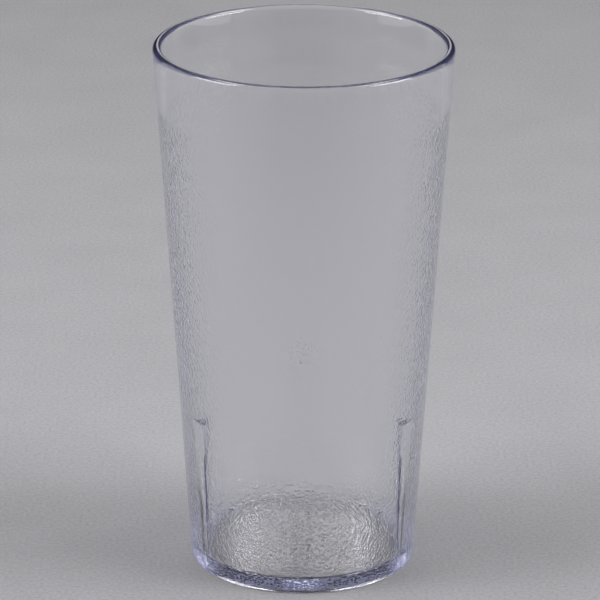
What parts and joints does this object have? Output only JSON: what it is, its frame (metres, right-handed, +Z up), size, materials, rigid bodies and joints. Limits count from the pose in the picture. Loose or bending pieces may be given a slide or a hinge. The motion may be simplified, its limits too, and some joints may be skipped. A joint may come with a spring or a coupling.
{
  "type": "tumbler cup",
  "caption": "Tall tapered drinking tumbler moulded in one piece of clear plastic, with a smooth rim band, a pebble-grained wall, a foot ring and inner stacking ribs.",
  "frame": {"origin": "centre of the foot ring's underside, on the surface that the tumbler stands on", "axes": "+Z up along the tumbler's axis towards its mouth; -Y is the side that faces the viewer, +X is at the viewer's right"},
  "size_m": [0.0888, 0.0888, 0.161],
  "materials": {
    "clear_plastic": "clear and glossy, with a soft pebble grain outside below the rim band"
  },
  "bodies": {
    "root": {"tumbler": "clear_plastic"}
  },
  "joints": []
}
